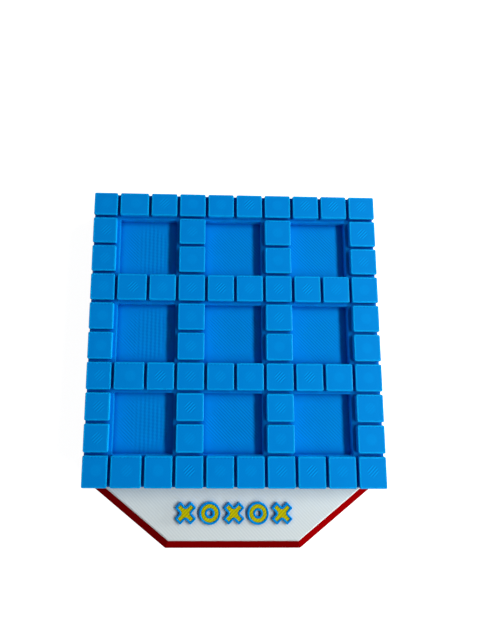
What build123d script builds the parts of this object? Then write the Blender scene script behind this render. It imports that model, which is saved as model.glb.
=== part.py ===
from build123d import *
import os
from math import radians, tan

# A noughts and crosses box. A square playing board of raised tiles with nine sunk cells lifts off
# a bevelled tray that stores the playing pieces. The tray's nose shows in front of the board.
# Millimetres, +Z up. The origin lies under the middle of the board, on the face that the tray
# stands on. +X is the player's right, and -Y is towards the player.

# Playing board
pitch = 12.0                 # from one groove to the next
tiles_per_side = 10
board_trim = 1.1             # the board is this much smaller than its tiles at full pitch
groove_width = 1.2
groove_depth = 2.9
groove_setback = 1.2         # the crosswise grooves lie this far behind the board's middle
first_groove_slip = 1.1      # the leftmost groove lies this far left of its place
tile_corner_chamfer = 0.5
tile_edge_chamfer = 0.3
cells_per_side = 3
tiles_per_cell = 2
cell_depth = 4.0             # below the grooves
cell_floor = 1.8

# Locating rim under the board
rim_inset = 7.6              # from the board's edge to the rim's outer face
rim_depth = 2.5
rim_wall = 2.0
rim_corner_radius = 3.0
rim_clearance = 0.3          # between the rim and the tray's mouth
rim_lead_in = 0.6

# Tray and its deck
tray_floor = 2.0
tray_bevel = 3.6
tray_edge_chamfer = 0.6       # on the corners of its walls and bevel
foot_chamfer = 0.4
deck_thickness = 0.6
nose_reach = 25.0            # past the board's front edge, at the foot of the bevel
nose_front_width = 54.4
nose_angle = 38.0            # of the nose's slanted sides, from the front edge
divider_width = 2.0
divider_clearance = 0.4      # below the rim
headroom = 4.6               # above the stored pieces

# Playing pieces
pieces_per_player = 5
piece_thickness = 6.0
piece_clearance = 2.0        # all round a piece in its cell
piece_chamfer = 0.6
cross_bar_width = 6.4
nought_hole = 9.0

# Raised marks on the nose
mark_count = 5
mark_spacing = 9.6
mark_size = 8.6
mark_stroke = 3.2
mark_height = 1.4
mark_base = 0.6              # the sheet of the rim piece under the face
mark_rim = 0.8
mark_face_sink = 0.3         # the face lies this far below the rim
mark_play = 0.1              # between the face and its rim

# Sizes that follow
board_size = tiles_per_side * pitch - board_trim
board_half = board_size / 2
cell_size = tiles_per_cell * pitch
piece_size = cell_size - 2 * piece_clearance
mouth_size = board_size - 2 * (rim_inset - rim_clearance)
mouth_radius = rim_corner_radius + rim_clearance
bin_width = (mouth_size - divider_width) / 2

deck_top = tray_floor + piece_thickness + headroom
tray_top = deck_top - deck_thickness
board_floor_top = deck_top + cell_floor
groove_floor = board_floor_top + cell_depth
board_top = groove_floor + groove_depth
front_y = -board_half - nose_reach


def groove_lines(shift):
    """Places of the grooves across one direction of the board, from its middle."""
    middle = (tiles_per_side - 2) / 2
    return [(i - middle) * pitch + shift for i in range(tiles_per_side - 1)]


def tile_spans(grooves):
    """Low and high side of each tile between the grooves and the board's edges."""
    lows = [-board_half] + [g + groove_width / 2 for g in grooves]
    highs = [g - groove_width / 2 for g in grooves] + [board_half]
    return list(zip(lows, highs))


lattice_x = groove_lines(0)
grooves_x = [lattice_x[0] - first_groove_slip] + lattice_x[1:]
grooves_y = groove_lines(groove_setback)

# The cells share one side with the grooves that bound them, so each cell has a ledge at its
# right and back, and its other two walls run straight up into the tiles.
cell_numbers = range(cells_per_side)
cell_step = tiles_per_cell + 1
cell_columns = [lattice_x[cell_step * i] + (cell_size - groove_width) / 2 for i in cell_numbers]
cell_rows = [grooves_y[cell_step * i] + (cell_size - groove_width) / 2 for i in cell_numbers]
cell_centres = [(x, y) for y in cell_rows for x in cell_columns]


def in_a_cell(span_x, span_y):
    """True for a tile that would stand inside one of the cells."""
    middle_x = sum(span_x) / 2
    middle_y = sum(span_y) / 2
    return any(
        abs(middle_x - x) < cell_size / 2 and abs(middle_y - y) < cell_size / 2
        for x, y in cell_centres
    )


tiles = [
    (span_x, span_y)
    for span_x in tile_spans(grooves_x)
    for span_y in tile_spans(grooves_y)
    if not in_a_cell(span_x, span_y)
]

os.makedirs("parts", exist_ok=True)


def save(builder, name):
    """Labels a finished piece and writes it to its own file."""
    builder.part.label = name
    export_step(builder.part, f"parts/{name}.step")


# Outline of the tray at its foot: square behind, with a nose of slanted sides in front
side_y = front_y + (board_half - nose_front_width / 2) * tan(radians(nose_angle))
with BuildSketch() as tray_outline:
    with BuildLine():
        Polyline(
            (-board_half, board_half),
            (-board_half, side_y),
            (-nose_front_width / 2, front_y),
            (nose_front_width / 2, front_y),
            (board_half, side_y),
            (board_half, board_half),
            close=True,
        )
    make_face()

with BuildPart() as tray:
    add(tray_outline.sketch)
    extrude(amount=tray_top)
    chamfer(tray.edges().group_by(Axis.Z)[-1], tray_bevel)
    corners = tray.edges().filter_by(lambda e: abs(e.tangent_at(0.5).Z) > 0.1)
    chamfer(corners, tray_edge_chamfer)
    chamfer(tray.edges().group_by(Axis.Z)[0], foot_chamfer)
    with BuildSketch(Plane.XY.offset(tray_top)):
        RectangleRounded(mouth_size, mouth_size, mouth_radius)
    extrude(amount=tray_floor - tray_top, mode=Mode.SUBTRACT)
    with BuildSketch(Plane.XY.offset(tray_floor)):
        Rectangle(divider_width, mouth_size)
    extrude(amount=deck_top - rim_depth - divider_clearance - tray_floor)
save(tray, "tray")

# White deck over the tray's rim and nose, which carries the bevel on to its own top edge
with BuildPart() as deck:
    with BuildSketch(Plane.XY.offset(tray_top)):
        add(tray_outline.sketch)
        offset(amount=-tray_bevel, kind=Kind.INTERSECTION, mode=Mode.REPLACE)
    extrude(amount=deck_thickness, taper=45)
    corners = deck.edges().filter_by(lambda e: abs(e.tangent_at(0.5).Z) > 0.1)
    chamfer(corners, tray_edge_chamfer)
    with BuildSketch(Plane.XY.offset(tray_top)):
        RectangleRounded(mouth_size, mouth_size, mouth_radius)
    extrude(amount=deck_thickness, mode=Mode.SUBTRACT)
save(deck, "deck")

with BuildPart() as board:
    with BuildSketch(Plane.XY.offset(deck_top)):
        Rectangle(board_size, board_size)
        chamfer(vertices(), tile_corner_chamfer)
    extrude(amount=groove_floor - deck_top)
    with BuildSketch(Plane.XY.offset(groove_floor)):
        for (low_x, high_x), (low_y, high_y) in tiles:
            with Locations(((low_x + high_x) / 2, (low_y + high_y) / 2)):
                Rectangle(high_x - low_x, high_y - low_y)
        chamfer(vertices(), tile_corner_chamfer)
    extrude(amount=groove_depth)
    chamfer(board.edges().group_by(Axis.Z)[-1], tile_edge_chamfer)
    with BuildSketch(Plane.XY.offset(groove_floor)):
        with Locations(*cell_centres):
            Rectangle(cell_size, cell_size)
    extrude(amount=-cell_depth, mode=Mode.SUBTRACT)
    with BuildSketch(Plane.XY.offset(deck_top)):
        rim_size = board_size - 2 * rim_inset
        RectangleRounded(rim_size, rim_size, rim_corner_radius)
        offset(amount=-rim_wall, mode=Mode.SUBTRACT)
    extrude(amount=-rim_depth)
    rim_foot = board.faces().sort_by(Axis.Z)[0]
    chamfer(rim_foot.outer_wire().edges(), rim_lead_in)
save(board, "board")

# Each player's pieces lie in a bin of their own, filled from the back
bin_columns = 2
bin_rows = pieces_per_player // bin_columns + 2
column_step = bin_width / bin_columns
row_step = mouth_size / bin_rows


def bin_places(side):
    """Centres of the pieces in the left (-1) or right (+1) bin."""
    middle = side * (mouth_size - bin_width) / 2
    places = []
    for i in range(pieces_per_player):
        row, column = divmod(i, bin_columns)
        x = middle + (column - (bin_columns - 1) / 2) * column_step
        places.append((x, mouth_size / 2 - (row + 0.5) * row_step))
    return places


def cross_sketch(size, bar, inset=0):
    """Two bars on the diagonals of a square of the given size, drawn in all round by inset."""
    length = size * 2**0.5 - bar
    with BuildSketch(mode=Mode.PRIVATE) as cross:
        with Locations(Rotation(0, 0, 45), Rotation(0, 0, -45)):
            Rectangle(length - 2 * inset, bar - 2 * inset)
    return cross.sketch


def ring_sketch(size, hole, inset=0):
    """A round plate with a round hole in its middle, drawn in all round by inset."""
    with BuildSketch(mode=Mode.PRIVATE) as ring:
        Circle(size / 2 - inset)
        Circle(hole / 2 + inset, mode=Mode.SUBTRACT)
    return ring.sketch


def playing_piece(sketch, place):
    """One playing piece on the floor of the tray, its outer edges broken above and below."""
    with BuildPart() as piece:
        with BuildSketch(Plane((*place, tray_floor))):
            add(sketch)
        extrude(amount=piece_thickness)
        for end in (-1, 0):
            face = piece.faces().sort_by(Axis.Z)[end]
            chamfer(face.outer_wire().edges(), piece_chamfer)
    return piece


for number, place in enumerate(bin_places(-1), 1):
    save(playing_piece(cross_sketch(piece_size, cross_bar_width), place), f"cross_{number}")
for number, place in enumerate(bin_places(1), 1):
    save(playing_piece(ring_sketch(piece_size, nought_hole), place), f"nought_{number}")

# A row of small crosses and noughts stands on the nose. Each is a rim piece with a sunk face.
mark_y = (front_y + tray_bevel - board_half) / 2
face_height = mark_height - mark_base - mark_face_sink


def mark_sketch(number, inset=0):
    """Outline of one mark, a cross or a nought by turns, drawn in all round by inset."""
    if number % 2 == 1:
        return cross_sketch(mark_size, mark_stroke, inset)
    return ring_sketch(mark_size, mark_size - 2 * mark_stroke, inset)


for number in range(1, mark_count + 1):
    mark_x = (number - (mark_count + 1) / 2) * mark_spacing
    with BuildPart() as mark_rim_piece:
        with BuildSketch(Plane((mark_x, mark_y, deck_top))):
            add(mark_sketch(number))
        extrude(amount=mark_height)
        with BuildSketch(Plane((mark_x, mark_y, deck_top + mark_base))):
            add(mark_sketch(number, mark_rim))
        extrude(amount=mark_height - mark_base, mode=Mode.SUBTRACT)
    save(mark_rim_piece, f"mark_rim_{number}")
    with BuildPart() as mark_face:
        with BuildSketch(Plane((mark_x, mark_y, deck_top + mark_base))):
            add(mark_sketch(number, mark_rim + mark_play))
        extrude(amount=face_height)
    save(mark_face, f"mark_face_{number}")
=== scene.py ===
"""The looks of a noughts and crosses box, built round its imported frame.

A blue playing board of raised tiles stands on a bevelled red tray with a white deck. Every piece is a
3-D print in PLA. Sizes are in millimetres and are turned to metres where a mesh becomes an object.
"""

import logging
import math
import random
from collections.abc import Callable, Iterable, Sequence
from dataclasses import dataclass, field
from enum import Enum
from itertools import product

import bmesh
import bpy
from mathutils import Matrix, Vector
from mathutils.geometry import delaunay_2d_cdt


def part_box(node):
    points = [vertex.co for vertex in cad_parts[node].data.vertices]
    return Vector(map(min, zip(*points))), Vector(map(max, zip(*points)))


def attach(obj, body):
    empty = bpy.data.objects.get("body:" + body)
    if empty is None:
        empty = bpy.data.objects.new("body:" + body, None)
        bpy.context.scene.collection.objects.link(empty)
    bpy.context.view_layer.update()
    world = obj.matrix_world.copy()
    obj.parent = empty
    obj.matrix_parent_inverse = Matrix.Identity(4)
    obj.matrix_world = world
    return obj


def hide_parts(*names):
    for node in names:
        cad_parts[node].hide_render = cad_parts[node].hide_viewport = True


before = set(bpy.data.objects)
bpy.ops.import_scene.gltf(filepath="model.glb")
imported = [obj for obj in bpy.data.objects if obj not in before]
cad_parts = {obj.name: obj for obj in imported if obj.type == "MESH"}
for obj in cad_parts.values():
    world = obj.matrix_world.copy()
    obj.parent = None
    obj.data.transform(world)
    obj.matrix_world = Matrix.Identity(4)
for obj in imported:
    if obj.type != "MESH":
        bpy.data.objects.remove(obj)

log = logging.getLogger("noughts_and_crosses")

MM = 0.001
MERGE_DISTANCE = 1e-4       # mm, under which two points of an outline are one
LEVEL_TOLERANCE = 0.01      # mm, within which the middle of a face lies at a height
LEAST_RADIUS = 0.04         # mm, so that an inset corner keeps its points apart
CORNER_STEPS = 6
SHARP_ANGLE = 35.0          # degrees between two faces, over which their edge stays sharp

Tree = bpy.types.NodeTree
Socket = bpy.types.NodeSocket
Vertex = bmesh.types.BMVert
Face = bmesh.types.BMFace
Corners = Sequence[tuple[float, float]]
Points = list[Vector]
Outline = Callable[[float], Points]
Profile = Sequence[tuple[float, float]]


def linear(colour: str) -> tuple[float, float, float, float]:
    """Turns an sRGB colour into the linear values that a shader takes.

    Args:
        colour: The colour as six hex digits after a hash sign.

    Returns:
        Red, green, blue and an alpha of one.
    """
    channels = [int(colour[i:i + 2], 16) / 255 for i in (1, 3, 5)]
    straight = [c / 12.92 if c <= 0.04045 else ((c + 0.055) / 1.055) ** 2.4 for c in channels]
    return straight[0], straight[1], straight[2], 1.0


def add_node(
    tree: Tree,
    kind: str,
    inputs: dict[str | int, object] | None = None,
    **settings: object,
) -> bpy.types.Node:
    """Adds a node to a tree, with its settings, its input values and its links.

    Args:
        tree: The tree that gets the node.
        kind: The node's Blender type.
        inputs: Values and sockets to link, by the name or number of the input.
        **settings: Properties of the node itself.

    Returns:
        The new node.
    """
    node = tree.nodes.new(kind)
    for name, value in settings.items():
        setattr(node, name, value)
    for place, value in (inputs or {}).items():
        if isinstance(value, Socket):
            tree.links.new(value, node.inputs[place])
        else:
            node.inputs[place].default_value = value
    return node


# Finishes


class Surface(Enum):
    """How a face of a print was laid down, which decides the lines that it shows."""

    TOP = "top"             # lines of extrusion rising to the right
    FLOOR = "floor"         # the layer under or over that one, its lines falling to the right
    EDGE = "edge"           # the round outer line of the last layer
    WALL = "wall"           # the sides, with the edges of the layers
    BED = "bed"             # the first layer, pressed on the textured print bed


# The surfaces that show how high the layers are
LAYERED = (Surface.EDGE, Surface.WALL)

SIDEWAYS = (1.0, 0.0, 0.0)
UPWARDS = (0.0, 0.0, 1.0)

# The direction across the lines of each surface. The bed's side has a grain instead of lines.
ACROSS_LINES = {
    Surface.TOP: (math.sqrt(0.5), -math.sqrt(0.5), 0.0),
    Surface.FLOOR: (math.sqrt(0.5), math.sqrt(0.5), 0.0),
    Surface.EDGE: UPWARDS,
    Surface.WALL: UPWARDS,
}

# How much of its colour a surface loses in the valleys of its lines, as painted shade of their relief
VALLEY_LOSS = {
    Surface.TOP: 1.0,
    Surface.FLOOR: 1.0,
    Surface.EDGE: 0.3,
    Surface.WALL: 0.3,
    Surface.BED: 0.5,
}

# How near walls have to be, in mm, for a surface between them to get painted shade, darker the more they
# close it in
PAINTED_SHADE_REACH = {Surface.FLOOR: 2.0, Surface.WALL: 3.0}
PAINTED_SHADE_SAMPLES = 6

# A mix node has sockets of one name for each type, so those of its colours go by number
FIRST_COLOUR, SECOND_COLOUR, MIXED_COLOUR = 6, 7, 2

# The value of a measure where a share is 0, and the value where the share is 1
Ends = tuple[float, float]


@dataclass(frozen=True)
class PrintedPla:
    """PLA filament, taken as laid down by a 0.4 mm nozzle in layers of 0.2 mm.

    The eye sees a smooth satin plastic with fine parallel lines, slanted on flat faces and level on
    the walls. On the tiles and cell floors they are about 0.83 mm apart, perhaps every second line of
    the nozzle. Under 1 mm they vanish in the render, so they are drawn that coarse. The layers can't
    be seen from above. They are drawn three times as high as they are taken to be.
    """

    name: str
    colour: str                     # of the filament
    shade: str                      # painted shade, of the valleys between its lines
    edge: str                       # of the rounded upper edges, smoother than the rest; lighter on the blue and white, a painted highlight
    wall: str                       # of the sides; lighter on the blue and white, a painted highlight of the light from the side
    painted_crevice_shade: str                       # painted shade, at the bottom of narrow gaps and the foot of walls
    glint: str                      # the pigment's tint in the highlights
    roughness: float = 0.48         # satin, between a moulded face and a sanded one
    specular: float = 0.25
    side_roughness: float = 0.42    # sides and edges are glossier, as nothing dragged over them
    side_specular: float = 0.35
    ior: float = 1.46               # PLA
    line_spacing: float = 1.0       # mm, a fifth coarser than what the eye sees
    layer_spacing: float = 0.62     # mm, three times a layer of 0.2 mm
    line_relief: float = 0.018      # mm from valley to crest
    layer_relief: float = 0.05
    line_waver: float = 1.6         # radians, the most that the lines shift
    waver_scale: float = 0.35       # per mm, of the noise that shifts them
    bed_grain: float = 0.5          # mm, the grain of a textured steel bed
    blotch_size: float = 9.0        # mm, over which the flow of plastic changes
    blotch_detail: float = 3.0      # octaves of its noise
    blotch_strength: float = 0.12

    def material(self, surface: Surface) -> bpy.types.Material:
        """Gives the finish of one kind of surface, made once and then shared.

        Args:
            surface: How the face was laid down.

        Returns:
            The material for such faces.
        """
        name = f"{self.name}_{surface.value}"
        return bpy.data.materials.get(name) or self._make(name, surface)

    def _make(self, name: str, surface: Surface) -> bpy.types.Material:
        """Builds the node tree of one surface.

        Args:
            name: Name of the new material.
            surface: How the face was laid down.

        Returns:
            The new material.
        """
        material = bpy.data.materials.new(name)
        material.use_nodes = True
        tree = material.node_tree
        tree.nodes.clear()
        place = add_node(tree, "ShaderNodeTexCoord").outputs["Object"]
        millimetres = add_node(
            tree, "ShaderNodeVectorMath", {0: place, "Scale": 1 / MM}, operation="SCALE"
        ).outputs["Vector"]
        crest = self._crest(tree, millimetres, surface)
        blotch = add_node(
            tree,
            "ShaderNodeTexNoise",
            {"Vector": millimetres, "Scale": 1 / self.blotch_size, "Detail": self.blotch_detail},
        ).outputs["Fac"]
        # Edges and walls take their own copies of the colour, lighter on the blue and white as a painted
        # highlight
        full_colour = {Surface.EDGE: self.edge, Surface.WALL: self.wall}.get(surface, self.colour)
        colour = add_node(
            tree,
            "ShaderNodeMix",
            {
                "Factor": self._light_part(tree, crest, blotch, VALLEY_LOSS[surface]),
                FIRST_COLOUR: linear(self.shade),
                SECOND_COLOUR: linear(full_colour),
            },
            data_type="RGBA",
        ).outputs[MIXED_COLOUR]
        # Painted shade: the colour turns towards the dark gap colour where walls are near, by ambient
        # occlusion
        if surface in PAINTED_SHADE_REACH:
            openness = add_node(
                tree,
                "ShaderNodeAmbientOcclusion",
                {"Distance": PAINTED_SHADE_REACH[surface] * MM},
                samples=PAINTED_SHADE_SAMPLES,
            ).outputs["AO"]
            colour = add_node(
                tree,
                "ShaderNodeMix",
                {"Factor": openness, FIRST_COLOUR: linear(self.painted_crevice_shade), SECOND_COLOUR: colour},
                data_type="RGBA",
            ).outputs[MIXED_COLOUR]
        bump = add_node(
            tree, "ShaderNodeBump", {"Height": crest, "Distance": self._relief(surface) * MM}
        ).outputs["Normal"]
        layered = surface in LAYERED
        shader = add_node(
            tree,
            "ShaderNodeBsdfPrincipled",
            {
                "Base Color": colour,
                "Normal": bump,
                "Roughness": self.side_roughness if layered else self.roughness,
                "IOR": self.ior,
                "Specular IOR Level": self.side_specular if layered else self.specular,
                "Specular Tint": linear(self.glint),
            },
        )
        add_node(tree, "ShaderNodeOutputMaterial", {"Surface": shader.outputs["BSDF"]})
        return material

    def _relief(self, surface: Surface) -> float:
        """Height of the pattern of a surface in millimetres."""
        return self.layer_relief if surface in LAYERED else self.line_relief

    def _crest(self, tree: Tree, millimetres: Socket, surface: Surface) -> Socket:
        """Builds the height of a surface's own pattern, from 0 in a valley to 1 on a crest.

        Args:
            tree: The material's tree.
            millimetres: The place on the piece.
            surface: How the face was laid down.

        Returns:
            The socket of the height.
        """
        if surface is Surface.BED:
            return add_node(
                tree, "ShaderNodeTexNoise", {"Vector": millimetres, "Scale": 1 / self.bed_grain}
            ).outputs["Fac"]
        spacing = self.layer_spacing if surface in LAYERED else self.line_spacing
        lines = self._stripes(tree, millimetres, ACROSS_LINES[surface], spacing)
        return add_node(
            tree, "ShaderNodeMath", {0: lines, 1: 0.5, 2: 0.5}, operation="MULTIPLY_ADD"
        ).outputs["Value"]

    def _stripes(
        self, tree: Tree, millimetres: Socket, across: tuple[float, float, float], spacing: float
    ) -> Socket:
        """Builds parallel lines that waver a little, as laid plastic does.

        Args:
            tree: The material's tree.
            millimetres: The place on the piece.
            across: Unit vector across the lines.
            spacing: Millimetres from one line to the next.

        Returns:
            The socket of the height, from -1 in the valleys to 1 on the crests.
        """
        turns = add_node(
            tree,
            "ShaderNodeVectorMath",
            {0: millimetres, 1: tuple(c * 2 * math.pi / spacing for c in across)},
            operation="DOT_PRODUCT",
        ).outputs["Value"]
        waver = add_node(
            tree, "ShaderNodeTexNoise", {"Vector": millimetres, "Scale": self.waver_scale}
        ).outputs["Fac"]
        phase = add_node(
            tree, "ShaderNodeMath", {0: waver, 1: self.line_waver, 2: turns}, operation="MULTIPLY_ADD"
        ).outputs["Value"]
        return add_node(tree, "ShaderNodeMath", {0: phase}, operation="SINE").outputs["Value"]

    def _light_part(self, tree: Tree, crest: Socket, blotch: Socket, loss: float) -> Socket:
        """Builds the share of the full colour, lower in valleys as painted shade, and in thin blotches.

        Args:
            tree: The material's tree.
            crest: Height of the surface's pattern.
            blotch: Slow change over the surface.
            loss: Share that the deepest valley loses.

        Returns:
            The socket of the share, from 0 to 1.
        """
        start = 1 - loss - self.blotch_strength / 2
        blotched = add_node(
            tree, "ShaderNodeMath", {0: blotch, 1: self.blotch_strength, 2: start}, operation="MULTIPLY_ADD"
        ).outputs["Value"]
        return add_node(
            tree, "ShaderNodeMath", {0: crest, 1: loss, 2: blotched}, operation="MULTIPLY_ADD", use_clamp=True
        ).outputs["Value"]


@dataclass(frozen=True)
class TiledPla(PrintedPla):
    """Blue PLA as the board shows it, with what the printing of many small fields leaves.

    The eye sees smooth tiles, some with a patch of slanted lines where the filling ran thin, and some
    with a row of dots along the back edge, where its lines turned back. The cells' floors are wider, so
    their lines show over most of the middle. In the left cells they turn into wavy upright ones, where
    two layers beat together.

    Lengths are in millimetres. A rise, or a strength of lines, is what a mark adds to a height that is
    0 in a valley and 1 on a crest. The chances are ends for the draw from 0 to 1 that each tile and each
    cell gets.
    """

    plain_height: float = 0.45

    pitch: float = 12.0                 # from one tile to the next
    setback: float = 1.2                # of the crosswise grooves, behind the board's middle
    patch_radius: float = 2.7           # of the thin filling in the middle of a tile
    patch_fade: float = 1.1             # over which it starts
    patch_chance: Ends = (0.1, 1.0)
    patch_strength: float = 0.4
    patch_rise: float = 0.07
    dot_spacing: float = 1.4
    dot_inset: float = 4.65             # from a tile's middle to its row of dots
    dot_length: float = 0.35
    dot_blur: float = 0.1
    dot_share: Ends = (0.0, 0.6)        # of the wave along the row
    dot_chance: Ends = (0.7, 0.45)
    dot_rise: float = -0.4

    cell_pitch: float = 36.0            # from one cell to the next
    first_cell: float = -48.6           # left side of the first cell from the board's middle
    cell_size: float = 24.0
    cloud_scale: float = 0.16           # per mm, of the noise that moves the ends of the lines
    cloud_reach: float = 9.0
    cell_reach: Ends = (17.5, 12.0)     # from a cell's middle, with the clouds added
    cell_chance: Ends = (-0.6, 0.4)
    cell_strength: float = 0.2
    beat_spacing: float = 1.7
    beat_waver: float = 0.16            # by which the slanted lines shift the upright ones
    beat_columns: Ends = (0.0, -30.0)   # sideways from the board's middle
    beat_side: Ends = (-7.0, 0.0)       # sideways from a cell's middle
    beat_strength: float = 0.15

    def _crest(self, tree: Tree, millimetres: Socket, surface: Surface) -> Socket:
        """Builds the height of the pattern on tiles and cell floors, and the plain one elsewhere.

        Args:
            tree: The material's tree.
            millimetres: The place on the board.
            surface: How the face was laid down.

        Returns:
            The socket of the height.
        """
        if surface not in (Surface.TOP, Surface.FLOOR):
            return super()._crest(tree, millimetres, surface)
        lines = self._stripes(tree, millimetres, ACROSS_LINES[surface], self.line_spacing)
        special = self._tile_marks if surface is Surface.TOP else self._floor_marks
        height = self.plain_height
        for mark, strength in special(tree, millimetres, lines):
            height = add_node(
                tree, "ShaderNodeMath", {0: mark, 1: strength, 2: height}, operation="MULTIPLY_ADD"
            ).outputs["Value"]
        return height

    def _field(
        self, tree: Tree, millimetres: Socket, pitch: float, start: tuple[float, float], size: float
    ) -> tuple[Socket, Socket]:
        """Divides the board into square fields that repeat at a pitch.

        Args:
            tree: The material's tree.
            millimetres: The place on the board.
            pitch: Distance from one field to the next.
            start: Left front corner of one field.
            size: Width of a field.

        Returns:
            The place from the middle of its field, and a draw from 0 to 1 for each field.
        """
        flat = (1 / pitch, 1 / pitch, 0.0)
        offset = (-start[0] / pitch, -start[1] / pitch, 0.0)
        grid = add_node(
            tree, "ShaderNodeVectorMath", {0: millimetres, 1: flat, 2: offset}, operation="MULTIPLY_ADD"
        ).outputs["Vector"]
        part = add_node(tree, "ShaderNodeVectorMath", {0: grid}, operation="FRACTION").outputs["Vector"]
        place = add_node(
            tree, "ShaderNodeVectorMath", {0: part, "Scale": pitch}, operation="SCALE"
        ).outputs["Vector"]
        arm = add_node(
            tree, "ShaderNodeVectorMath", {0: place, 1: (size / 2, size / 2, 0.0)}, operation="SUBTRACT"
        ).outputs["Vector"]
        number = add_node(tree, "ShaderNodeVectorMath", {0: grid}, operation="FLOOR").outputs["Vector"]
        chance = add_node(tree, "ShaderNodeTexWhiteNoise", {"Vector": number}).outputs["Value"]
        return arm, chance

    def _tile_marks(self, tree: Tree, millimetres: Socket, lines: Socket) -> list[tuple[Socket, float]]:
        """Builds the pattern of the tiles: patches of lines, and dots along the back edge.

        Args:
            tree: The material's tree.
            millimetres: The place on the board.
            lines: The lines of extrusion.

        Returns:
            The marks and how much each lifts the surface.
        """
        arm, chance = self._field(tree, millimetres, self.pitch, (0.0, self.setback), self.pitch)
        radius = add_node(tree, "ShaderNodeVectorMath", {0: arm}, operation="LENGTH").outputs["Value"]
        patch = self._fade(tree, radius, (self.patch_radius, self.patch_radius - self.patch_fade))
        hatching = self._product(tree, lines, patch, self._fade(tree, chance, self.patch_chance))
        back = add_node(tree, "ShaderNodeSeparateXYZ", {0: arm}).outputs["Y"]
        start, end = self.dot_inset, self.dot_inset + self.dot_length
        row = self._product(
            tree,
            self._fade(tree, back, (start - self.dot_blur, start)),
            self._fade(tree, back, (end + self.dot_blur, end)),
        )
        wave = self._stripes(tree, millimetres, SIDEWAYS, self.dot_spacing)
        dots = self._product(
            tree, self._fade(tree, wave, self.dot_share), row, self._fade(tree, chance, self.dot_chance)
        )
        return [(hatching, self.patch_strength), (patch, self.patch_rise), (dots, self.dot_rise)]

    def _floor_marks(self, tree: Tree, millimetres: Socket, lines: Socket) -> list[tuple[Socket, float]]:
        """Builds the pattern of the cells' floors: slanted lines, and upright ones in the left cells.

        Args:
            tree: The material's tree.
            millimetres: The place on the board.
            lines: The lines of extrusion.

        Returns:
            The marks and how much each lifts the surface.
        """
        start = (self.first_cell, self.first_cell + self.setback)
        arm, chance = self._field(tree, millimetres, self.cell_pitch, start, self.cell_size)
        radius = add_node(tree, "ShaderNodeVectorMath", {0: arm}, operation="LENGTH").outputs["Value"]
        cloud = add_node(
            tree, "ShaderNodeTexNoise", {"Vector": millimetres, "Scale": self.cloud_scale}
        ).outputs["Fac"]
        reach = add_node(
            tree, "ShaderNodeMath", {0: cloud, 1: self.cloud_reach, 2: radius}, operation="MULTIPLY_ADD"
        ).outputs["Value"]
        patch = self._fade(tree, reach, self.cell_reach)
        across = add_node(tree, "ShaderNodeSeparateXYZ", {0: millimetres}).outputs["X"]
        side = add_node(tree, "ShaderNodeSeparateXYZ", {0: arm}).outputs["X"]
        upright = self._product(
            tree, self._fade(tree, across, self.beat_columns), self._fade(tree, side, self.beat_side)
        )
        slanted = self._fade(tree, upright, (1.0, 0.0))
        hatching = self._product(tree, lines, patch, slanted, self._fade(tree, chance, self.cell_chance))
        wavy = add_node(
            tree,
            "ShaderNodeVectorMath",
            {0: lines, 1: (self.beat_waver, 0.0, 0.0), 2: millimetres},
            operation="MULTIPLY_ADD",
        ).outputs["Vector"]
        beats = self._stripes(tree, wavy, SIDEWAYS, self.beat_spacing)
        beating = self._product(tree, beats, patch, upright)
        return [(hatching, self.cell_strength), (beating, self.beat_strength)]

    def _fade(self, tree: Tree, value: Socket, ends: Ends) -> Socket:
        """Turns a value into a share that goes smoothly from 0 to 1.

        Args:
            tree: The material's tree.
            value: The value.
            ends: The value where the share is 0, and the one where it is 1.

        Returns:
            The socket of the share.
        """
        low, high = sorted(ends)
        rising = ends[0] < ends[1]
        limits = {"From Min": low, "From Max": high, "To Min": float(not rising), "To Max": float(rising)}
        return add_node(
            tree, "ShaderNodeMapRange", {"Value": value, **limits}, interpolation_type="SMOOTHSTEP"
        ).outputs["Result"]

    def _product(self, tree: Tree, *shares: Socket) -> Socket:
        """Multiplies waves and shares with one another.

        Args:
            tree: The material's tree.
            *shares: What is multiplied.

        Returns:
            The socket of the product.
        """
        result = shares[0]
        for share in shares[1:]:
            result = add_node(
                tree, "ShaderNodeMath", {0: result, 1: share}, operation="MULTIPLY"
            ).outputs["Value"]
        return result


# Strong blue. Light from the side glints on its smooth round walls.
BLUE_PLA = TiledPla(
    "blue_pla",
    colour="#00A6F7",
    shade="#0058BA",
    # Edge and wall are lighter, a painted highlight; the gap colour is painted shade
    edge="#00ACF2",
    wall="#00B0F8",
    painted_crevice_shade="#0028A0",
    glint="#10D8FF",
    side_specular=0.9,
)
# Matt white, on which the lines hardly show
WHITE_PLA = PrintedPla(
    "white_pla",
    colour="#DAE3E4",
    shade="#D1DBDD",
    # Edge and wall are lighter, a painted highlight; the gap colour is painted shade
    edge="#E4ECED",
    wall="#E4ECED",
    painted_crevice_shade="#8FA0A8",
    glint="#FFFFFF",
    roughness=0.6,
)
# Deep red without any highlight
RED_PLA = PrintedPla(
    "red_pla",
    colour="#A40004",
    shade="#8C0003",
    edge="#A00004",
    wall="#980003",
    # The gap colour is painted shade
    painted_crevice_shade="#500000",
    glint="#FF0400",
    specular=0.0,
    side_specular=0.0,
)
# Satin yellow, a little green
YELLOW_PLA = PrintedPla(
    "yellow_pla",
    colour="#C8C000",
    shade="#A8A200",
    edge="#C8C000",
    wall="#C8C000",
    # The gap colour is painted shade
    painted_crevice_shade="#605800",
    glint="#FFF070",
)


# Building meshes


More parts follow.
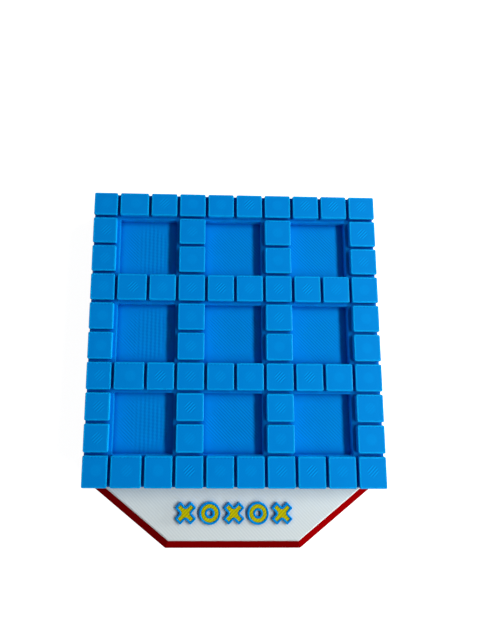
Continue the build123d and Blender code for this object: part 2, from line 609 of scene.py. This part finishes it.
def rounded_outline(corners: Corners, radius: float, inset: float = 0.0, steps: int = CORNER_STEPS) -> Points:
    """Draws a polygon with every corner rounded, inwards and outwards ones alike.

    Args:
        corners: The polygon's corners, anticlockwise.
        radius: Radius of the corners before the inset.
        inset: How far the sides move inwards.
        steps: Stretches that each corner's arc is drawn with.

    Returns:
        The outline's points, as many for any inset.
    """
    points = []
    places = [Vector(corner) for corner in corners]
    for before, corner, after in zip(places[-1:] + places[:-1], places, places[1:] + places[:1]):
        sides = ((corner - before).normalized(), (after - corner).normalized())
        normals = [Vector((side.y, -side.x)) for side in sides]
        turn = normals[0].angle_signed(normals[1]) * -1
        bulge = 1.0 if turn > 0 else -1.0
        reach = max(radius - bulge * inset, LEAST_RADIUS)
        mitre = -(normals[0] + normals[1]) / (1 + normals[0].dot(normals[1]))
        centre = corner + mitre * (inset + bulge * reach)
        for step in range(steps + 1):
            arm = normals[0].copy()
            arm.rotate(Matrix.Rotation(turn * step / steps, 2))
            points.append(centre + arm * bulge * reach)
    return points


def rectangle(low: tuple[float, float], high: tuple[float, float]) -> Corners:
    """Corners of an upright rectangle, anticlockwise."""
    return [low, (high[0], low[1]), high, (low[0], high[1])]


def square(half: float) -> Corners:
    """Corners of a square round the origin, anticlockwise."""
    return rectangle((-half, -half), (half, half))


def quarter_round(radius: float, steps: int, inset: float, top: float) -> list[tuple[float, float]]:
    """Profile of a rounded upper edge, from the wall up to the top.

    Args:
        radius: Radius of the rounding.
        steps: Stretches that it is drawn with.
        inset: Inset of the wall below it.
        top: Height of the face above it.

    Returns:
        Pairs of inset and height.
    """
    angles = [math.pi / 2 * step / steps for step in range(steps + 1)]
    return [
        (inset + radius * (1 - math.cos(angle)), top - radius * (1 - math.sin(angle))) for angle in angles
    ]


@dataclass
class Shell:
    """A closed mesh in the making, in millimetres."""

    mesh: bmesh.types.BMesh = field(default_factory=bmesh.new)

    def loop(self, points: Iterable[Vector], height: float) -> list[Vertex]:
        """Adds the points of an outline at a height and returns them."""
        return [self.mesh.verts.new((point.x, point.y, height)) for point in points]

    def band(self, low: Sequence[Vertex], high: Sequence[Vertex]) -> None:
        """Joins two loops of as many points by a band of four-sided faces.

        Args:
            low: Points of one loop.
            high: Points of the other, in the same order.
        """
        for i, vertex in enumerate(low):
            following = (i + 1) % len(low)
            self.mesh.faces.new((vertex, low[following], high[following], high[i]))

    def wrap(self, outline: Outline, profile: Profile, closed: bool = False) -> None:
        """Carries a profile round an outline.

        Args:
            outline: Gives the outline's points for an inset.
            profile: Pairs of inset and height.
            closed: True for a ring, whose profile ends where it starts. Otherwise both ends get a face.
        """
        loops = [self.loop(outline(inset), height) for inset, height in profile]
        for low, high in zip(loops, loops[1:] + loops[:1] if closed else loops[1:]):
            self.band(low, high)
        if not closed:
            self.mesh.faces.new(loops[0])
            self.mesh.faces.new(loops[-1])

    def plan(self, outlines: Sequence[Points], height: float) -> list[tuple[Face, set[int]]]:
        """Cuts the first outline's inside along the others, as triangles at one height.

        Args:
            outlines: Closed outlines, where the first holds all others.
            height: Height of the plan.

        Returns:
            Each new face, with the numbers of the outlines that it lies in.
        """
        points, loops = [], []
        for outline in outlines:
            loops.append(list(range(len(points), len(points) + len(outline))))
            points.extend(outline)
        places, _, faces, _, _, origins = delaunay_2d_cdt(points, [], loops, 1, MERGE_DISTANCE)
        vertices = self.loop(places, height)
        return [
            (self.mesh.faces.new([vertices[i] for i in face]), set(inside))
            for face, inside in zip(faces, origins)
        ]

    def push(self, faces: Sequence[Face], rise: float) -> list[Face]:
        """Lifts or sinks a region of faces, with walls along its edge.

        Args:
            faces: The region.
            rise: How far it goes up, or down if negative.

        Returns:
            The region's faces in their new place.
        """
        made = bmesh.ops.extrude_face_region(self.mesh, geom=faces)["geom"]
        moved = [item for item in made if isinstance(item, Vertex)]
        bmesh.ops.translate(self.mesh, vec=(0, 0, rise), verts=moved)
        left_behind = [face for face in faces if face.is_valid]
        if left_behind:
            bmesh.ops.delete(self.mesh, geom=left_behind, context="FACES")
        return [item for item in made if isinstance(item, Face)]

    def drop(self, centre: Vector, radius: float) -> None:
        """Adds a small closed ball that lies half sunk in the rest."""
        bmesh.ops.create_icosphere(
            self.mesh, subdivisions=2, radius=radius, matrix=Matrix.Translation(centre)
        )

    def rim_edges(self, height: float) -> list[bmesh.types.BMEdge]:
        """The open edges that lie at a height."""
        return [
            edge for edge in self.mesh.edges
            if edge.is_boundary and all(abs(v.co.z - height) < MERGE_DISTANCE for v in edge.verts)
        ]

    def open_edges(self) -> int:
        """How many edges don't join two faces."""
        return sum(not edge.is_manifold for edge in self.mesh.edges)


@dataclass(frozen=True)
class Dress:
    """The filament of a piece, and the surface that each of its faces shows."""

    filament: PrintedPla
    slot: str
    last_layer: Surface = Surface.TOP
    last_layers: float = 0.42   # mm, the height that rounded upper edges and drops on them take
    upward: float = 0.9         # a face whose normal rises more than this lies flat

    def surface(self, face: Face, top: float) -> Surface:
        """Tells how a face was laid down.

        Args:
            face: A face in millimetres.
            top: Height of the piece's top.

        Returns:
            The surface that the face shows.
        """
        if face.normal.z < -self.upward:
            return Surface.BED
        highest = face.calc_center_median().z > top - self.last_layers
        if face.normal.z < self.upward:
            return Surface.EDGE if highest else Surface.WALL
        return self.last_layer if highest else Surface.FLOOR


def make_piece(
    name: str, shell: Shell, dress: Dress, body: str, stands_for: Sequence[str]
) -> bpy.types.Object:
    """Turns a finished shell into a dressed piece of the object.

    Args:
        name: Name of the new piece.
        shell: The closed mesh, which is used up.
        dress: Its filament, and the surface that each face shows.
        body: The body of the frame that it moves with.
        stands_for: The nodes of the frame that it is shown for.

    Returns:
        The new piece.
    """
    mesh = shell.mesh
    bmesh.ops.recalc_face_normals(mesh, faces=mesh.faces)
    top = max(vertex.co.z for vertex in mesh.verts)
    surfaces = list(Surface)
    for face in mesh.faces:
        face.smooth = True
        face.material_index = surfaces.index(dress.surface(face, top))
    loose = shell.open_edges()
    mesh.transform(Matrix.Scale(MM, 4))
    data = bpy.data.meshes.new(name)
    mesh.to_mesh(data)
    mesh.free()
    for surface in surfaces:
        data.materials.append(dress.filament.material(surface))
    data.set_sharp_from_angle(angle=math.radians(SHARP_ANGLE))
    piece = bpy.data.objects.new(name, data)
    bpy.context.scene.collection.objects.link(piece)
    flats = piece.modifiers.new("Flat faces stay flat", "WEIGHTED_NORMAL")
    flats.keep_sharp = True
    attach(piece, body)
    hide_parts(*stands_for)
    log.info("%s: %d faces, %d open edges, rides on %s", name, len(data.polygons), loose, body)
    return piece


# Sub-assemblies


@dataclass
class PlayingBoard:
    """The blue board: tiles between narrow grooves, nine sunk cells and a locating rim below."""

    pitch: float = 12.0
    tiles_per_side: int = 10
    groove_width: float = 1.2
    groove_depth: float = 2.9
    groove_setback: float = 1.2
    first_groove_slip: float = 1.1
    tile_corner: float = 0.6
    tile_rounding: float = 0.27
    rounding_steps: int = 4
    line_inset: float = 0.1         # from the rounding to the seam between outer line and filling
    seam_width: float = 0.2
    seam_depth: float = 0.05
    drop_counts: tuple[int, ...] = (0, 0, 1, 1, 2, 3)   # drops on a tile, each as likely
    drop_sizes: tuple[float, float] = (0.18, 0.32)      # radius, of the least and the largest drop
    drop_margin: float = 1.0        # from a tile's corners
    drop_rise: float = 0.15         # above the tiles
    drop_seed: int = 9
    cells_per_side: int = 3
    tiles_per_cell: int = 2
    cell_depth: float = 4.0
    cell_corner: float = 0.4
    rim_inset: float = 7.6
    rim_wall: float = 2.0
    rim_corner: float = 3.0
    rim_lead_in: float = 0.6

    def __post_init__(self) -> None:
        """Takes the board's place from the frame and works out its grid."""
        low, high = (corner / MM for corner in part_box("board"))
        self.half = high.x
        self.top = high.z
        self.rim_foot = low.z
        self.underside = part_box("deck")[1].z / MM
        self.groove_floor = self.top - self.groove_depth
        middle = (self.tiles_per_side - 2) / 2
        lines = [(i - middle) * self.pitch for i in range(self.tiles_per_side - 1)]
        self.lattice_x = lines
        self.grooves_x = [lines[0] - self.first_groove_slip] + lines[1:]
        self.grooves_y = [line + self.groove_setback for line in lines]

    def spans(self, grooves: Sequence[float]) -> list[tuple[float, float]]:
        """Places the tiles along one direction of the board.

        Args:
            grooves: Places of the grooves.

        Returns:
            Low and high side of each tile between the grooves and the board's edges.
        """
        lows = [-self.half] + [groove + self.groove_width / 2 for groove in grooves]
        highs = [groove - self.groove_width / 2 for groove in grooves] + [self.half]
        return list(zip(lows, highs))

    def cells(self) -> list[Corners]:
        """Places the cells.

        Returns:
            Corners of each cell's opening.
        """
        step = self.tiles_per_cell + 1
        size = self.tiles_per_cell * self.pitch
        starts = [i * step for i in range(self.cells_per_side)]
        half_groove = self.groove_width / 2
        lows = [
            (self.lattice_x[i] - half_groove, self.grooves_y[j] - half_groove)
            for i, j in product(starts, starts)
        ]
        return [rectangle(low, (low[0] + size, low[1] + size)) for low in lows]

    def tiles(self) -> list[Corners]:
        """Places the tiles, and leaves out those where a cell is.

        Returns:
            Corners of each tile.
        """
        openings = self.cells()
        kept = []
        spans = product(self.spans(self.grooves_x), self.spans(self.grooves_y))
        for (low_x, high_x), (low_y, high_y) in spans:
            x, y = (low_x + high_x) / 2, (low_y + high_y) / 2
            if not any(c[0][0] < x < c[2][0] and c[0][1] < y < c[2][1] for c in openings):
                kept.append(rectangle((low_x, low_y), (high_x, high_y)))
        return kept

    def build(self) -> bpy.types.Object:
        """Builds the board as one closed mesh, from its plan at the level of the groove floors.

        Returns:
            The finished board.
        """
        shell = Shell()
        tiles = [rounded_outline(corners, self.tile_corner) for corners in self.tiles()]
        cells = [rounded_outline(corners, self.cell_corner) for corners in self.cells()]
        slab = rounded_outline(square(self.half), self.tile_corner)
        plan = shell.plan([slab] + tiles + cells, self.groove_floor)
        first_cell = 1 + len(tiles)
        sunk = [face for face, inside in plan if any(number >= first_cell for number in inside)]
        raised = [face for face, inside in plan if any(0 < number < first_cell for number in inside)]
        shell.push(sunk, -self.cell_depth)
        self._shape_tiles(shell, shell.push(raised, self.groove_depth))
        self._close_underside(shell)
        self._add_drops(shell)
        return make_piece("playing_board", shell, Dress(BLUE_PLA, "blue_plastic"), "board", ["board"])

    def _shape_tiles(self, shell: Shell, tops: Sequence[Face]) -> None:
        """Rounds the tiles' upper edges and sinks the seam inside their outer lines.

        Args:
            shell: The board's mesh.
            tops: The triangles of the tiles' tops.
        """
        bmesh.ops.dissolve_faces(shell.mesh, faces=tops)
        edges = [
            edge for edge in shell.mesh.edges
            if all(abs(vertex.co.z - self.top) < MERGE_DISTANCE for vertex in edge.verts)
        ]
        bmesh.ops.bevel(
            shell.mesh,
            geom=edges,
            offset=self.tile_rounding,
            segments=self.rounding_steps,
            profile=0.5,
            affect="EDGES",
        )
        # A tile's flat top has four rounded corners, and so more points than any face of the rounding
        flats = [
            face for face in shell.mesh.faces
            if len(face.verts) > 2 * CORNER_STEPS and face.calc_center_median().z > self.top - LEVEL_TOLERANCE
        ]
        for inset, depth in (
            (self.line_inset, 0.0),
            (self.seam_width / 2, -self.seam_depth),
            (self.seam_width / 2, self.seam_depth),
        ):
            bmesh.ops.inset_region(
                shell.mesh, faces=flats, thickness=inset, depth=depth, use_even_offset=True, use_boundary=True
            )

    def _add_drops(self, shell: Shell) -> None:
        """Leaves small drops of plastic on tiles' edges, where their outer lines started and ended.

        Args:
            shell: The board's mesh.
        """
        chance = random.Random(self.drop_seed)
        for (low_x, low_y), _, (high_x, high_y), _ in self.tiles():
            for _ in range(chance.choice(self.drop_counts)):
                size = chance.uniform(*self.drop_sizes)
                x = chance.uniform(low_x + self.drop_margin, high_x - self.drop_margin)
                y = chance.uniform(low_y + self.drop_margin, high_y - self.drop_margin)
                side = chance.choice(((low_x + size, y), (x, low_y + size), (x, high_y - size)))
                shell.drop(Vector((*side, self.top + self.drop_rise - size)), size)

    def _close_underside(self, shell: Shell) -> None:
        """Adds the board's outer wall, its flat underside and the rim that locates it in the tray.

        Args:
            shell: The board's mesh, open round its edge.
        """
        made = bmesh.ops.extrude_edge_only(shell.mesh, edges=shell.rim_edges(self.groove_floor))["geom"]
        foot = [item for item in made if isinstance(item, Vertex)]
        for vertex in foot:
            vertex.co.z = self.underside
        rim_half = self.half - self.rim_inset
        rim = [
            (0.0, self.underside),
            (0.0, self.rim_foot + self.rim_lead_in),
            (self.rim_lead_in, self.rim_foot),
            (self.rim_wall, self.rim_foot),
            (self.rim_wall, self.underside),
        ]
        loops = [
            shell.loop(rounded_outline(square(rim_half), self.rim_corner, inset), height)
            for inset, height in rim
        ]
        for low, high in zip(loops, loops[1:]):
            shell.band(low, high)
        shell.mesh.faces.new(loops[-1])
        outer = shell.rim_edges(self.underside)
        bmesh.ops.triangle_fill(shell.mesh, edges=outer, use_beauty=True)


@dataclass
class Base:
    """The red tray and the white deck that lies on it, which share one bevel."""

    bevel: float = 3.6
    corner: float = 1.2
    foot_chamfer: float = 0.4
    floor: float = 2.0
    divider_width: float = 2.0
    divider_top: float = 9.7
    mouth_wall: float = 7.3         # from the tray's side to its mouth
    mouth_corner: float = 3.3
    nose_front_width: float = 54.4
    nose_angle: float = 38.0        # degrees, from the front edge

    def __post_init__(self) -> None:
        """Takes the outline and the levels from the frame."""
        low, high = (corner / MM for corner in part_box("tray"))
        self.half = high.x
        self.tray_top = high.z
        self.deck_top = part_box("deck")[1].z / MM
        front = self.nose_front_width / 2
        side_y = low.y + (self.half - front) * math.tan(math.radians(self.nose_angle))
        self.corners = [
            (self.half, self.half),
            (-self.half, self.half),
            (-self.half, side_y),
            (-front, low.y),
            (front, low.y),
            (self.half, side_y),
        ]
        self.mouth = rounded_outline(square(self.half - self.mouth_wall), self.mouth_corner)

    def outline(self, inset: float) -> Points:
        """The base's outline, drawn in by an inset."""
        return rounded_outline(self.corners, self.corner, inset)

    def build_tray(self) -> bpy.types.Object:
        """Builds the tray: bevelled walls, two bins and the divider between them.

        Returns:
            The finished tray.
        """
        shell = Shell()
        half_divider = self.divider_width / 2
        plan = shell.plan([self.outline(self.bevel), self.mouth, self._divider_outline()], self.tray_top)
        sunk = [(face, 2 in inside) for face, inside in plan if 1 in inside]
        lowered = shell.push([face for face, _ in sunk], self.divider_top - self.tray_top)
        bins = [face for face in lowered if abs(face.calc_center_median().x) > half_divider]
        shell.push(bins, self.floor - self.divider_top)
        self._close_outside(shell)
        return make_piece("storage_tray", shell, Dress(RED_PLA, "red_plastic"), "tray", ["tray"])

    def _divider_outline(self) -> Points:
        """Draws the divider, which ends on the front and back walls of the mouth.

        Returns:
            The divider's outline.
        """
        half = self.divider_width / 2
        reach = self.half - self.mouth_wall
        return [Vector(corner) for corner in rectangle((-half, -reach), (half, reach))]

    def _close_outside(self, shell: Shell) -> None:
        """Adds the bevel, the outer walls and the foot below the tray's top face.

        Args:
            shell: The tray's mesh, open round its top face.
        """
        made = shell.rim_edges(self.tray_top)
        start = {vertex for edge in made for vertex in edge.verts}
        upper = [min(start, key=lambda v, p=p: (v.co.xy - p).length) for p in self.outline(self.bevel)]
        for inset, height in (
            (0.0, self.tray_top - self.bevel),
            (0.0, self.foot_chamfer),
            (self.foot_chamfer, 0.0),
        ):
            lower = shell.loop(self.outline(inset), height)
            shell.band(lower, upper)
            upper = lower
        shell.mesh.faces.new(upper)

    def build_deck(self) -> bpy.types.Object:
        """Builds the white sheet round the mouth and over the nose.

        Returns:
            The finished deck.
        """
        shell = Shell()
        rise = self.deck_top - self.tray_top
        levels = ((self.tray_top, self.bevel), (self.deck_top, self.bevel + rise))
        edges = []
        for height, inset in levels:
            outline = self.outline(inset)
            plan = shell.plan([outline, self.mouth], height)
            inside = [face for face, numbers in plan if 1 in numbers]
            bmesh.ops.delete(shell.mesh, geom=inside, context="FACES")
            level = [v for v in shell.mesh.verts if abs(v.co.z - height) < MERGE_DISTANCE]
            edges.append(
                [
                    [min(level, key=lambda v, p=p: (v.co.xy - p).length) for p in points]
                    for points in (outline, self.mouth)
                ]
            )
        for low, high in zip(*edges):
            shell.band(low, high)
        dress = Dress(WHITE_PLA, "white_plastic", last_layer=Surface.FLOOR)
        return make_piece("deck_sheet", shell, dress, "tray", ["deck"])


@dataclass
class Marks:
    """The row of small crosses and noughts on the nose, each a rim piece with a sunk face."""

    count: int = 5
    stroke: float = 3.2
    base: float = 0.6
    rim: float = 0.8
    rim_rounding: float = 0.25
    rim_steps: int = 3
    face_play: float = 0.1
    face_rounding: float = 0.12
    face_steps: int = 2

    def outline(self, number: int, centre: Vector, size: float) -> Outline:
        """Gives the outline of one mark.

        Args:
            number: The mark's number, odd for a cross.
            centre: Middle of the mark.
            size: Width over all.

        Returns:
            A function from inset to points.
        """
        if number % 2 == 1:
            return cross_outline(centre, size, self.stroke)
        return circle_outline(centre, size / 2)

    def build(self) -> list[bpy.types.Object]:
        """Builds every mark of the row.

        Returns:
            The rims and faces, in order.
        """
        made = []
        for number in range(1, self.count + 1):
            low, high = (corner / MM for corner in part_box(f"mark_rim_{number}"))
            face_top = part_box(f"mark_face_{number}")[1].z / MM
            centre, size = ((low + high) / 2).xy, high.x - low.x
            outline = self.outline(number, centre, size)
            ring = number % 2 == 0
            made.append(self._build_rim(number, outline, low.z, high.z, ring))
            made.append(self._build_face(number, outline, low.z + self.base, face_top, ring))
        return made

    def _build_rim(
        self, number: int, outline: Outline, foot: float, top: float, ring: bool
    ) -> bpy.types.Object:
        """Builds a mark's rim piece: a base sheet with a raised edge round it.

        Args:
            number: The mark's number.
            outline: Its outline for an inset.
            foot: Height of the deck.
            top: Height of the rim.
            ring: True for a nought.

        Returns:
            The rim piece.
        """
        outer = quarter_round(self.rim_rounding, self.rim_steps, 0.0, top)
        inner = [(self.rim - inset, height) for inset, height in reversed(outer)]
        profile = [(0.0, foot)] + outer + inner + [(self.rim, foot + self.base)]
        if ring:
            profile += [(self.stroke - inset, height) for inset, height in reversed(profile)]
        shell = Shell()
        shell.wrap(outline, profile, closed=ring)
        dress = Dress(BLUE_PLA, "mark_rim_plastic")
        return make_piece(f"mark_{number}_edge", shell, dress, "tray", [f"mark_rim_{number}"])

    def _build_face(
        self, number: int, outline: Outline, foot: float, top: float, ring: bool
    ) -> bpy.types.Object:
        """Builds the coloured face that lies in a mark's rim.

        Args:
            number: The mark's number.
            outline: The mark's outline for an inset.
            foot: Height of the rim piece's base sheet.
            top: Height of the face.
            ring: True for a nought.

        Returns:
            The face piece.
        """
        start = self.rim + self.face_play
        profile = [(start, foot)] + quarter_round(self.face_rounding, self.face_steps, start, top)
        if ring:
            profile += [(self.stroke - inset, height) for inset, height in reversed(profile)]
        shell = Shell()
        shell.wrap(outline, profile, closed=ring)
        dress = Dress(YELLOW_PLA, "mark_face_plastic")
        return make_piece(f"mark_{number}_inlay", shell, dress, "tray", [f"mark_face_{number}"])


def cross_outline(
    centre: Vector, size: float, bar: float, corner: float = 0.35, steps: int = 3
) -> Outline:
    """Gives the outline of a cross of two slanted bars.

    Args:
        centre: Middle of the cross.
        size: Width over all.
        bar: Width of a bar.
        corner: Radius of its corners.
        steps: Stretches that each corner's arc is drawn with.

    Returns:
        A function from inset to points.
    """
    half, reach = bar / 2, size / math.sqrt(2) - bar / 2
    quarter = [(reach, -half), (reach, half), (half, half)]
    upright = []
    for turn in range(4):
        spin = Matrix.Rotation(-math.pi / 2 * turn, 2)
        upright += [Vector(corner_place) @ spin for corner_place in quarter]
    slant = Matrix.Rotation(-math.pi / 4, 2)
    corners = [tuple(place @ slant + centre) for place in upright]
    return lambda inset: rounded_outline(corners, corner, inset, steps)


def circle_outline(centre: Vector, radius: float, steps: int = 72) -> Outline:
    """Gives the outline of a round piece, as a function from inset to points."""
    spokes = [Vector((math.cos(a), math.sin(a))) for a in (2 * math.pi * i / steps for i in range(steps))]
    return lambda inset: [centre + spoke * (radius - inset) for spoke in spokes]


@dataclass
class PlayingPieces:
    """The crosses and noughts that lie in the tray's bins."""

    per_player: int = 5
    bar: float = 6.4
    hole: float = 9.0
    rounding: float = 0.6
    rounding_steps: int = 4

    def build(self) -> list[bpy.types.Object]:
        """Builds both players' pieces.

        Returns:
            The crosses and then the noughts.
        """
        made = []
        for number in range(1, self.per_player + 1):
            made.append(self._build_piece(f"cross_{number}", Dress(RED_PLA, "cross_plastic"), ring=False))
        for number in range(1, self.per_player + 1):
            made.append(self._build_piece(f"nought_{number}", Dress(WHITE_PLA, "nought_plastic"), ring=True))
        return made

    def _build_piece(self, node: str, dress: Dress, ring: bool) -> bpy.types.Object:
        """Builds one playing piece where the frame has it.

        Args:
            node: The frame's node for it.
            dress: Its filament, and the surface that each face shows.
            ring: True for a nought.

        Returns:
            The piece.
        """
        low, high = (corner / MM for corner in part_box(node))
        centre, size = ((low + high) / 2).xy, high.x - low.x
        upper = quarter_round(self.rounding, self.rounding_steps, 0.0, high.z)
        lower = [(inset, low.z + high.z - height) for inset, height in reversed(upper)]
        profile = lower + upper
        shell = Shell()
        if ring:
            width = size / 2 - self.hole / 2
            profile = profile + [(width, high.z), (width, low.z)]
            shell.wrap(circle_outline(centre, size / 2), profile, closed=True)
        else:
            shell.wrap(cross_outline(centre, size, self.bar), profile)
        return make_piece(f"{node}_piece", shell, dress, "tray", [node])


# Studio


@dataclass(frozen=True)
class Lamp:
    """A flat soft lamp that faces the object, its length from front to back."""

    name: str
    place: tuple[float, float, float]       # mm, from the object's origin
    width: float
    length: float
    power: float                            # watts

    def build(self) -> None:
        """Hangs the lamp in its place."""
        data = bpy.data.lights.new(self.name, "AREA")
        data.shape = "RECTANGLE"
        data.size = self.width * MM
        data.size_y = self.length * MM
        data.energy = self.power
        lamp = bpy.data.objects.new(self.name, data)
        lamp.location = Vector(self.place) * MM
        lamp.rotation_euler = Vector(self.place).to_track_quat("Z", "X").to_euler()
        bpy.context.scene.collection.objects.link(lamp)


@dataclass
class Studio:
    """A pale floor, soft light from the right and above, and a white background."""

    floor_half: float = 3000.0
    key_lamp: Lamp = Lamp("key_lamp", place=(393, 10, 575), width=90, length=850, power=4.85)
    side_lamp: Lamp = Lamp("side_lamp", place=(600, 10, 110), width=140, length=200, power=2.4)
    horizon: float = 0.26           # strength of the surround at the height of the eye
    zenith: float = 0.04            # and straight above
    floor_colour: str = "#B0B0B0"
    floor_roughness: float = 0.9
    floor_lift: float = 0.95        # strength of the white it gives off where it is seen directly

    def build(self) -> None:
        """Builds the floor, the lamps and the world."""
        self._build_floor()
        self.key_lamp.build()
        self.side_lamp.build()
        self._build_world()

    def _build_floor(self) -> None:
        """Lays the floor under the tray. Seen directly it is lifted to white, and it keeps the shadow."""
        shell = Shell()
        shell.mesh.faces.new(shell.loop([Vector(c) for c in square(self.floor_half)], 0.0))
        shell.mesh.transform(Matrix.Scale(MM, 4))
        data = bpy.data.meshes.new("floor")
        shell.mesh.to_mesh(data)
        shell.mesh.free()
        material = bpy.data.materials.new("pale_floor")
        material.use_nodes = True
        tree = material.node_tree
        tree.nodes.clear()
        shader = add_node(
            tree,
            "ShaderNodeBsdfPrincipled",
            {
                "Base Color": linear(self.floor_colour),
                "Roughness": self.floor_roughness,
                "Specular IOR Level": 0.0,
                "Emission Color": linear("#FFFFFF"),
                "Emission Strength": self._seen_directly(tree, self.floor_lift),
            },
        )
        add_node(tree, "ShaderNodeOutputMaterial", {"Surface": shader.outputs["BSDF"]})
        data.materials.append(material)
        floor = bpy.data.objects.new("floor", data)
        bpy.context.scene.collection.objects.link(floor)

    def _seen_directly(self, tree: Tree, strength: float) -> Socket:
        """Gives a strength to rays of the camera and of reflections, and nothing to light.

        Args:
            tree: The tree that needs it.
            strength: The strength for such rays.

        Returns:
            The socket of the strength.
        """
        path = add_node(tree, "ShaderNodeLightPath").outputs
        seen = add_node(
            tree, "ShaderNodeMath", {0: path["Is Camera Ray"], 1: path["Is Glossy Ray"]}, operation="MAXIMUM"
        ).outputs["Value"]
        through = add_node(
            tree, "ShaderNodeMath", {0: seen, 1: path["Is Transmission Ray"]}, operation="MAXIMUM"
        ).outputs["Value"]
        return add_node(
            tree, "ShaderNodeMath", {0: through, 1: strength}, operation="MULTIPLY"
        ).outputs["Value"]

    def _build_world(self) -> None:
        """Makes a surround that is dim, most of all above, and looks white where it is seen directly."""
        world = bpy.data.worlds.new("studio")
        bpy.context.scene.world = world
        world.use_nodes = True
        tree = world.node_tree
        tree.nodes.clear()
        seen = self._seen_directly(tree, 1.0)
        direction = add_node(tree, "ShaderNodeTexCoord").outputs["Generated"]
        rise = add_node(tree, "ShaderNodeSeparateXYZ", {0: direction}).outputs["Z"]
        strength = add_node(
            tree, "ShaderNodeMapRange", {"Value": rise, "To Min": self.horizon, "To Max": self.zenith}
        ).outputs["Result"]
        dim = add_node(tree, "ShaderNodeBackground", {"Color": linear("#FFFFFF"), "Strength": strength})
        white = add_node(tree, "ShaderNodeBackground", {"Color": linear("#FFFFFF"), "Strength": 1.0})
        both = add_node(tree, "ShaderNodeMixShader", {0: seen, 1: dim.outputs[0], 2: white.outputs[0]})
        add_node(tree, "ShaderNodeOutputWorld", {"Surface": both.outputs[0]})


@dataclass
class PhotoCamera:
    """The camera at the photograph's viewing angle, for a picture 480 pixels wide and 640 high."""

    location: tuple[float, float, float] = (-18.43, -17.81, 236.94)
    aim: tuple[float, float, float] = (-11.7, 21.63, 21.3)
    turn: float = 0.489                             # degrees, to the left about the line of sight
    focal_pixels: float = 531.0
    centre_pixel: tuple[float, float] = (207.04, 281.92)
    width: float = 480.0
    height: float = 640.0
    sensor_height: float = 36.0                     # mm, of the upright picture
    nearest: float = 10.0                           # mm, from where on things are seen

    def build(self) -> None:
        """Places the camera and makes it the scene's own."""
        data = bpy.data.cameras.new("photo_camera")
        data.sensor_fit = "VERTICAL"
        data.sensor_height = self.sensor_height
        data.sensor_width = self.sensor_height * self.width / self.height
        data.lens = self.focal_pixels * self.sensor_height / self.height
        data.shift_x = (self.width / 2 - self.centre_pixel[0]) / self.height
        data.shift_y = (self.centre_pixel[1] - self.height / 2) / self.height
        data.clip_start = self.nearest * MM
        location = Vector(self.location)
        forward = (Vector(self.aim) - location).normalized()
        turn = math.radians(self.turn)
        right = forward.cross(Vector((-math.sin(turn), math.cos(turn), 0))).normalized()
        up = right.cross(forward)
        camera = bpy.data.objects.new("photo_camera", data)
        axes = Matrix((right, up, -forward)).transposed().to_4x4()
        camera.matrix_world = Matrix.Translation(location * MM) @ axes
        bpy.context.scene.collection.objects.link(camera)
        bpy.context.scene.camera = camera


def main() -> None:
    """Builds the scene."""
    logging.basicConfig(level=logging.INFO, format="%(name)s: %(message)s")
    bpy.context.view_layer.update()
    PhotoCamera().build()
    Studio().build()
    base = Base()
    base.build_tray()
    base.build_deck()
    PlayingBoard().build()
    Marks().build()
    PlayingPieces().build()
    bpy.context.scene.view_settings.view_transform = "Standard"


if __name__ == "__main__":
    main()
